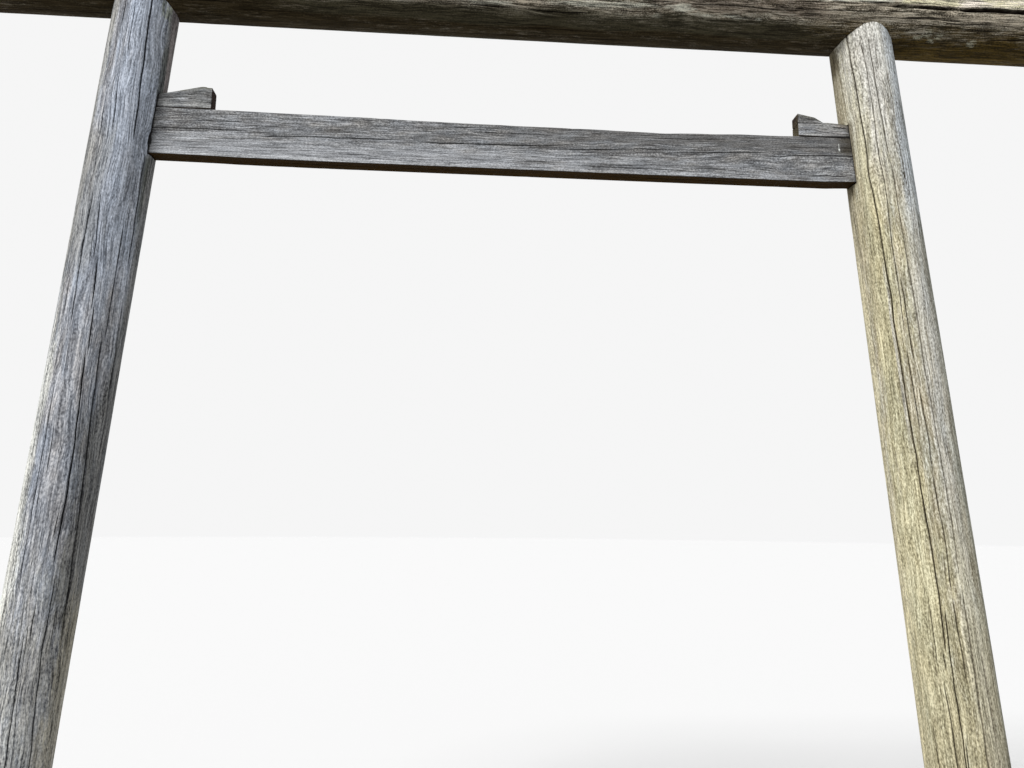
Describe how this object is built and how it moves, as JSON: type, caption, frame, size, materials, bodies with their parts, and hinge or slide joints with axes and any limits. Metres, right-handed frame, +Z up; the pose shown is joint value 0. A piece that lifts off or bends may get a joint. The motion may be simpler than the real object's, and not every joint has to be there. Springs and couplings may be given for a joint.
{
  "type": "torii gate",
  "caption": "Weathered timber torii gate: leaning log posts, a round top log laid in saddle cuts, and a squared tie beam held by wedges.",
  "frame": {"origin": "centre of the left post's foot, at ground level", "axes": "+X along the gate to the right post, +Y away from the side that the picture shows, +Z up"},
  "size_m": [4.3006, 0.2558, 3.4438],
  "materials": {
    "left_post_wood": "bare round log, weathered blue-grey, with long drying cracks",
    "right_post_wood": "bare round log, weathered warm grey with a yellow-green film of lichen, and long drying cracks",
    "top_log_wood": "bare round log, dark brown below and bleached grey above, with an open crack and spots of lichen",
    "tie_beam_wood": "sawn beam, weathered grey with raised grain, brown underneath",
    "wedge_wood": "sawn wedge, weathered grey with dark end grain"
  },
  "bodies": {
    "root": {"left_post": "left_post_wood", "right_post": "right_post_wood", "top_log": "top_log_wood", "tie_beam": "tie_beam_wood", "left_wedge": "wedge_wood", "right_wedge": "wedge_wood"}
  },
  "joints": []
}
